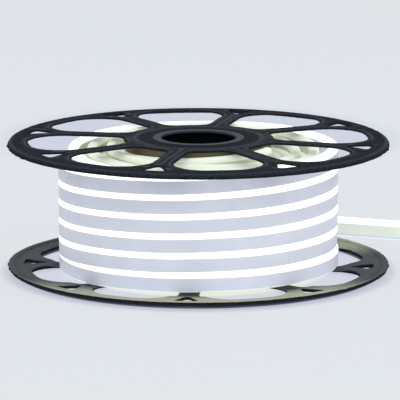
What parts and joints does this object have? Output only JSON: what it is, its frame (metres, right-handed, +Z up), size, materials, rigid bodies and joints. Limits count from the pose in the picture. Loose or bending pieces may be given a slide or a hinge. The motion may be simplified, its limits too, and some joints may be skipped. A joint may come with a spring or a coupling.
{
  "type": "led neon flex",
  "caption": "Reel of lit LED neon flex: flat-sided light strip wound on edge on a black plastic reel with open-spoked flanges, its free end on the floor.",
  "frame": {"origin": "on the floor under the reel's axis, at the middle of the lower flange's collar face", "axes": "+Z up along the reel's axis; -Y is the pictured front; the free end leaves at the back and runs towards +X"},
  "size_m": [0.3725, 0.3294, 0.1136],
  "materials": {
    "reel_plastic": "black, fine leather grain, satin",
    "drum_plastic": "black, smooth, satin",
    "flex_jacket": "milky soft jacket, lit cool white",
    "cap_silicone": "milky silicone, matte"
  },
  "bodies": {
    "root": {"bottom_flange": "reel_plastic", "top_flange": "reel_plastic", "drum": "drum_plastic", "neon_flex_winding": "flex_jacket", "neon_flex_inner_layer": "flex_jacket", "neon_flex_tail": "flex_jacket", "tail_end_cap": "cap_silicone"}
  },
  "joints": []
}
